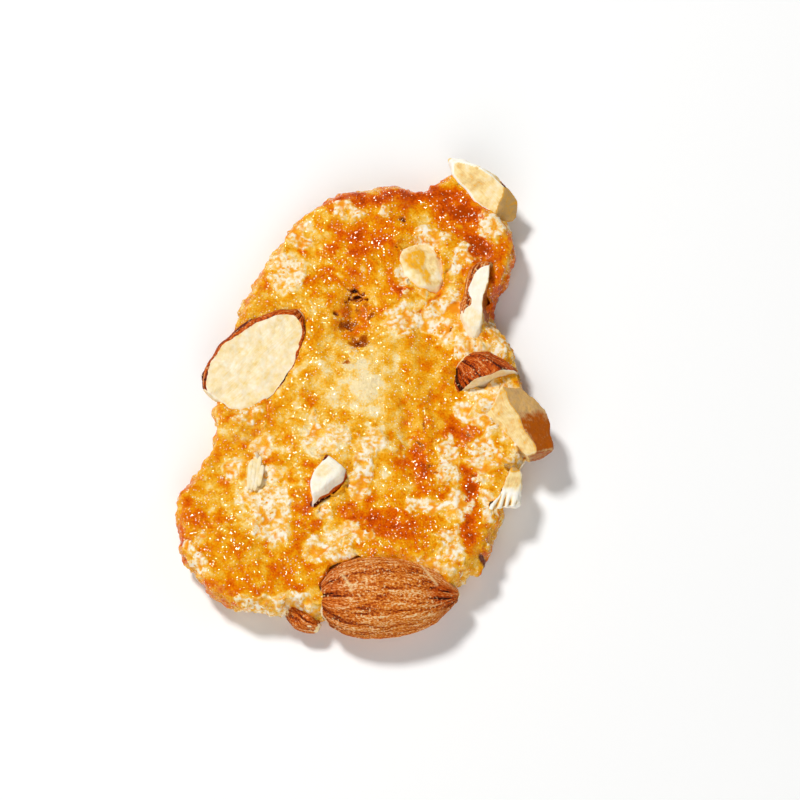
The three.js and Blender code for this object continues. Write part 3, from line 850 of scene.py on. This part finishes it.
    # Sugar sets in flat facets: each cell is a small plane with a tilt of its own, so a few flash white.
    facet = cellular(tree, place, FACET_SPACING)
    offset = vector_calc(tree, "SUBTRACT", place, facet["Position"])
    tilt = vector_calc(tree, "SUBTRACT", facet["Color"], (0.5, 0.5, 0.5))
    plane = vector_calc(tree, "DOT_PRODUCT", offset, tilt, output="Value")
    facets = add(tree, "ShaderNodeBump", {"Height": plane, "Strength": ranged(tree, share, 0, 1, 1, 0.3),
                                          "Distance": 2 * FACET_SLOPE})
    sunk = calc(tree, "MULTIPLY_ADD", holes, -0.8, fleck)
    bump = add(tree, "ShaderNodeBump", {"Height": sunk, "Strength": share, "Distance": 0.06 * MM,
                                        "Normal": facets.outputs[0]})
    tree.links.new(bump.outputs[0], shader.inputs["Normal"])
    rough = ranged(tree, share, 0, 1, GLAZE_ROUGHNESS, CRUMB_ROUGHNESS)
    tree.links.new(rough, shader.inputs["Roughness"])
    shader.inputs["Specular IOR Level"].default_value = 0.25
    shader.inputs["Specular Tint"].default_value = linear("#FFF0D8")
    shader.inputs["Subsurface Weight"].default_value = 0.10
    shader.inputs["Subsurface Radius"].default_value = (1.0, 0.75, 0.3)
    shader.inputs["Subsurface Scale"].default_value = 0.5 * MM
    return material


dough.data.materials.append(caramelised_dough())
print("dough finished as", dough.data.materials[0].name)

# %% [markdown]
# ## Almond skin and almond flesh
#
# Roasted skin is dry, red-brown and wrinkled lengthwise, with pale dust on its ridges, partly painted
# glints.
# Cut nut is ivory, dense and faintly oily, and it browns where caramel ran over it; facets that face right
# are also darkened as painted shade.

# %% Almond, roasted in its skin and chopped
SKIN_TONES = [
    (0.28, "#441402"), (0.41, "#983802"), (0.49, "#C8600E"), (0.57, "#DE882C"), (0.70, "#F4D6A4"),
]
ROASTED_TONES = [
    (0.30, "#2A0C02"), (0.43, "#7C2802"), (0.53, "#BE4802"), (0.63, "#D2640E"), (0.76, "#E6AE70"),
]
FLESH_TONES = [
    (0.0, "#FFFCF2"), (0.25, "#FDF0D4"), (0.43, "#F6D893"), (0.50, "#E9C482"), (0.57, "#F2B024"),
    (0.62, "#EEA61C"), (0.70, "#D8A85C"), (0.82, "#CDA56E"), (1.0, "#AC540A"),
]
# Pale flecks on the skin: scurf, and painted glints.
SCURF_AND_GLINT = "#EFCB92"
SKIN_ROUGHNESS = 0.6


def streaks(tree, along, length, width, detail):
    """Noise drawn out along the kernel, with features of this length and width in mm."""
    scale = (1 / (length * MM), 1 / (width * MM), 1)
    drawn = add(tree, "ShaderNodeMapping", {"Vector": along, "Scale": scale}).outputs[0]
    return add(tree, "ShaderNodeTexNoise", {"Vector": drawn, "Scale": 1, "Detail": detail}).outputs[0]


def almond():
    # Skin is dry and streaked lengthwise, dark in its grooves and pale with dust and painted glints; cut nut
    # is smooth and ivory, and glossy only where caramel ran over it.
    material, tree, shader = start("almond_roasted_chopped")
    place = add(tree, "ShaderNodeTexCoord").outputs["Object"]
    maps = maps_of(tree, "skin", "groove", "stain_and_shade", "roast", "scratch")
    along = add(tree, "ShaderNodeAttribute", attribute_name="kernel_place").outputs["Vector"]

    # Bands of 7 by 1.2 mm, streaks of 2.6 by 0.5 mm and dust in specks of 0.45 by 0.25 mm.
    band = streaks(tree, along, 7, 1.2, 3)
    streak = streaks(tree, along, 2.6, 0.5, 4)
    dust = streaks(tree, along, 0.45, 0.25, 3)
    darker = calc(tree, "MULTIPLY_ADD", maps["roast"], -0.19, -0.09)
    sunk = calc(tree, "MULTIPLY_ADD", maps["groove"], darker, -0.21)
    banded = calc(tree, "MULTIPLY_ADD", band, 0.36, sunk)
    brown = calc(tree, "MULTIPLY_ADD", streak, 0.50, banded)
    dusty = calc(tree, "MULTIPLY_ADD", dust, 0.65, brown)
    pale, dark = toned(tree, dusty, SKIN_TONES), toned(tree, dusty, ROASTED_TONES)
    roasted = laid_over(tree, maps["roast"], pale, dark)
    # Scurf lies on the skin in flecks of 0.45 mm, in patches of 3 mm, and scratches are as pale. The flecks
    # are partly painted highlights, for glints on the skin.
    flecks_and_glints = ranged(tree, noisy(tree, place, 0.45), 0.57, 0.67, 0, 0.80, "SMOOTHSTEP")
    there = ranged(tree, noisy(tree, place, 3.0), 0.41, 0.55, kind="SMOOTHSTEP")
    marked = calc(tree, "MULTIPLY_ADD", flecks_and_glints, there, maps["scratch"])
    skin = laid_over(tree, marked, roasted, linear(SCURF_AND_GLINT))

    # Cut nut is mottled in clouds of 0.9 mm and faintly streaked along the kernel. The same clouds fray the
    # border of the skin.
    clouds = noisy(tree, place, 0.9, 4)
    mottled = calc(tree, "MULTIPLY_ADD", clouds, 0.36, maps["stain_and_shade"])
    lined = calc(tree, "MULTIPLY_ADD", streak, 0.24, mottled)
    flesh = toned(tree, calc(tree, "SUBTRACT", lined, 0.30), FLESH_TONES)
    torn = calc(tree, "MULTIPLY_ADD", clouds, 0.8, maps["skin"])
    share = ranged(tree, torn, 0.32, 0.48, kind="SMOOTHSTEP")
    tree.links.new(laid_over(tree, share, flesh, skin), shader.inputs["Base Color"])
    gloss = ranged(tree, maps["stain_and_shade"], 0.8, 1.0, 0.5, 0.2)
    tree.links.new(between(tree, share, gloss, SKIN_ROUGHNESS), shader.inputs["Roughness"])

    # Grains of 0.5 mm roughen the nut, twice as much on a stained cut, which dried out, as on a fresh one.
    wrinkled = add(tree, "ShaderNodeBump", {"Height": streak, "Strength": share, "Distance": 0.25 * MM})
    dried = ranged(tree, maps["stain_and_shade"], 0.3, 0.6, 0.5, 1.0)
    bump = add(tree, "ShaderNodeBump", {"Height": noisy(tree, place, 0.5, 4), "Strength": dried,
                                        "Distance": 0.20 * MM, "Normal": wrinkled.outputs[0]})
    tree.links.new(bump.outputs[0], shader.inputs["Normal"])
    shader.inputs["Specular IOR Level"].default_value = 0.1
    shader.inputs["Subsurface Weight"].default_value = 0.08
    shader.inputs["Subsurface Radius"].default_value = (1.0, 0.6, 0.3)
    shader.inputs["Subsurface Scale"].default_value = 0.8 * MM
    return material


almond_material = almond()
for nut in nuts.values():
    nut.data.materials.append(almond_material)
print("almond finish on", len(nuts), "pieces")

# %% [markdown]
# ## A comb of nut fibres
#
# One shred in the dough is torn lengthwise, so its end splits into fibres. Each fibre is a cube, half
# rounded to a ball and drawn out; four lie side by side on the shred, their ends uneven like a torn edge.

# %% Fibres on the shred
FIBRE_WIDTH, FIBRE_HEIGHT = 0.8, 0.5
FIBRE_PLACE = (-18.3, -15.5)
FIBRE_TURN, FIBRE_TILT = math.radians(-8), math.radians(4)
FIBRE_SPLAY, FIBRE_STAIN = 0.04, 0.34
BED_RADIUS = 2.0
# Each row: how far right and how far back of the middle the fibre lies, and its length, all in mm.
FIBRES = [(-0.9, -0.3, 4.6), (-0.3, -0.5, 4.4), (0.3, 0.1, 5.6), (0.9, -0.2, 3.4)]


def strand_of(length):
    """A rounded strand along Y, shaped from a cube."""
    bpy.ops.object.select_all(action="DESELECT")
    bpy.ops.mesh.primitive_cube_add(size=1 * MM)
    bpy.ops.object.mode_set(mode="EDIT")
    bpy.ops.mesh.select_all(action="SELECT")
    bpy.ops.mesh.subdivide(number_cuts=2)
    bpy.ops.transform.tosphere(value=0.55)
    bpy.ops.transform.resize(value=(FIBRE_WIDTH, length, FIBRE_HEIGHT))
    bpy.ops.object.mode_set(mode="OBJECT")
    return bpy.context.object


# The fibres rest on the higher part of the dough under them.
bed = places[np.hypot(places[:, 0] - FIBRE_PLACE[0], places[:, 1] - FIBRE_PLACE[1]) < BED_RADIUS]
bed_height = float(np.percentile(bed[:, 2], 70))
strands = []
for right, behind, length in FIBRES:
    strand = strand_of(length)
    across = Matrix.Rotation(FIBRE_TURN, 3, "Z") @ Vector((right, behind, 0))
    strand.location = (across + Vector((*FIBRE_PLACE, bed_height))) * MM
    strand.rotation_euler = (FIBRE_TILT, 0, FIBRE_TURN - right * FIBRE_SPLAY)
    strands.append(strand)
print(len(strands), "strands on dough", round(bed_height, 2), "mm high")

# %% Join and smooth the fibres
bpy.ops.object.select_all(action="DESELECT")
for strand in strands:
    strand.select_set(True)
fibres = strands[0]
fibres.name = "nut_fibres"
bpy.context.view_layer.objects.active = fibres
bpy.ops.object.join()
bpy.ops.object.transform_apply(location=True, rotation=True, scale=True)
modify(fibres, "SUBSURF", levels=1)
bpy.ops.object.shade_smooth()
fibre_places = rows(fibres, "co")
keep(fibres, "stain_and_shade", FIBRE_STAIN + 0.1 * lumps(fibre_places, 0.5, 1.7))
keep(fibres, "skin", np.full(len(fibre_places), -1.0))
fibres.data.materials.append(almond_material)
print("fibres:", len(fibres.data.polygons), "faces")

# %% [markdown]
# ## Floor and light
#
# A small soft box at the back left, fairly high, lights the crust and sets off sparks on the glaze. Two
# large boxes and a white floor fill the shadows from the front, the right and below. Boxes rather than an
# even bright sky keep the caramel's colour deep, because only a few facets mirror them.

# %% Floor, world and soft boxes
FLOOR_SIZE = 3.0
SKY_STRENGTH = 0.08
BOX_DISTANCE = 1.0
# Each box: the direction it shines from, its width in metres and its power in watts.
SOFT_BOXES = {
    "key": ((-0.40, 0.45, 0.80), 0.20, 8.0),
    "front_fill": ((-0.10, -0.80, 0.60), 1.00, 5.7),
    "right_fill": ((0.85, 0.10, 0.52), 0.80, 1.2),
}

bpy.ops.object.select_all(action="DESELECT")
bpy.ops.mesh.primitive_plane_add(size=FLOOR_SIZE)
floor = bpy.context.object
floor.name = "floor"
material, tree, shader = start("floor_matt_paint")
shader.inputs["Base Color"].default_value = linear("#FCFCFB")
shader.inputs["Roughness"].default_value = 0.9
floor.data.materials.append(material)

world = bpy.data.worlds.new("studio")
world.use_nodes = True
sky = world.node_tree.nodes["Background"]
sky.inputs["Strength"].default_value = SKY_STRENGTH
sky.inputs["Color"].default_value = linear("#FFFFFF")
bpy.context.scene.world = world

for name, (direction, width, power) in SOFT_BOXES.items():
    lamp = bpy.data.objects.new(name, bpy.data.lights.new(name, "AREA"))
    lamp.data.shape = "DISK"
    lamp.data.size = width
    lamp.data.energy = power
    lamp.location = Vector(direction).normalized() * BOX_DISTANCE
    lamp.rotation_euler = Vector(direction).to_track_quat("Z", "Y").to_euler()
    bpy.context.scene.collection.objects.link(lamp)
bpy.context.scene.view_settings.view_transform = "Standard"
print(len(SOFT_BOXES), "soft boxes")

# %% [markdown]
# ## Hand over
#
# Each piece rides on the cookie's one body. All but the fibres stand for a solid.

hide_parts("crisp_body")
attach(dough, "root")
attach(fibres, "root")
for node, nut in nuts.items():
    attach(nut, "root")
    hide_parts(node)
